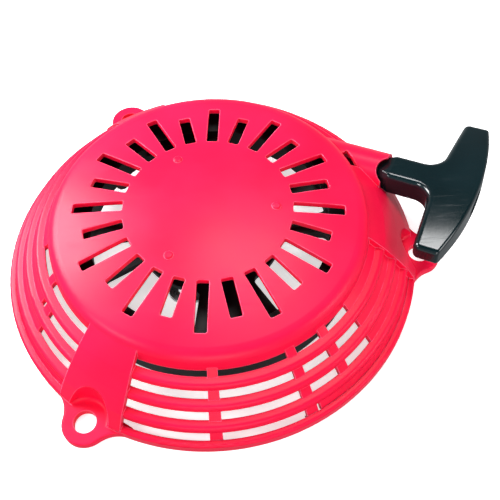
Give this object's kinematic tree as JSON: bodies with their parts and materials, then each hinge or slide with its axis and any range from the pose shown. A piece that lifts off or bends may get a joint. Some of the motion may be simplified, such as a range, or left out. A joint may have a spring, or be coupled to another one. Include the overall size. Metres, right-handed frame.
{
  "type": "recoil starter",
  "caption": "Pull-cord recoil starter: domed louvred plastic case on three ears, spring-loaded rope reel with swinging ratchets, and a T-shaped pull handle.",
  "frame": {"origin": "centre of the circle of the three mounting holes, on the reel's axis, in the plane of the case's underside", "axes": "+Z along the reel's axis, out through the dome, away from the engine; +X from the axis towards the mounting hole beside the rope outlet"},
  "size_m": [0.2446, 0.2048, 0.0441],
  "materials": {
    "red_case": "moulded satin",
    "black_reel": "moulded",
    "black_grip": "polished moulded",
    "rope": "braided",
    "zinc_steel": "zinc plated",
    "spring_steel": "oiled",
    "hard_steel": "hardened",
    "bronze": "sintered",
    "brass": "turned"
  },
  "bodies": {
    "case_body": {"case": "red_case", "rope_guide": "zinc_steel", "post_insert": "brass", "thrust_washer": "zinc_steel", "setting_screw": "zinc_steel"},
    "reel_body": {"reel": "black_reel", "hub_bushing": "bronze", "recoil_spring": "spring_steel", "rope_coil": "rope", "reel_knot": "rope", "return_spring_a": "spring_steel", "return_spring_b": "spring_steel"},
    "guide_body": {"ratchet_guide": "zinc_steel", "friction_spring": "spring_steel"},
    "ratchet_a_body": {"ratchet_a": "hard_steel"},
    "ratchet_b_body": {"ratchet_b": "hard_steel"},
    "handle_body": {"handle_grip": "black_grip", "handle_cap": "black_grip", "knot_washer": "zinc_steel", "handle_knot": "rope", "rope_lead": "rope"}
  },
  "joints": [
    {"name": "reel_spin", "type": "hinge", "parent": "case_body", "child": "reel_body", "pos_m": [0, 0, 0.0248], "axis": [0, 0, -1], "range_deg": [0, 1000], "deforming": ["recoil_spring"]},
    {"name": "handle_pull", "type": "slide", "parent": "case_body", "child": "handle_body", "axis": [0.9006, -0.4199, 0.1123], "range_m": [0, 1.1035], "deforming": ["rope_lead"]},
    {"name": "guide_slip", "type": "hinge", "parent": "reel_body", "child": "guide_body", "pos_m": [0, 0, 0.0095], "axis": [0, 0, 1], "range_deg": [0, 30]},
    {"name": "ratchet_a_swing", "type": "hinge", "parent": "reel_body", "child": "ratchet_a_body", "pos_m": [0.00672, -0.022, 0.0147], "axis": [0, 0, 1], "range_deg": [0, 40]},
    {"name": "ratchet_b_swing", "type": "hinge", "parent": "reel_body", "child": "ratchet_b_body", "pos_m": [-0.00672, 0.022, 0.0147], "axis": [0, 0, 1], "range_deg": [0, 40]}
  ],
  "couplings": [
    {"joint": "handle_pull", "follows": "reel_spin", "m_per_rad": 0.0632},
    {"joint": "ratchet_a_swing", "follows": "guide_slip", "ratio": 1.3333},
    {"joint": "ratchet_b_swing", "follows": "guide_slip", "ratio": 1.3333}
  ]
}
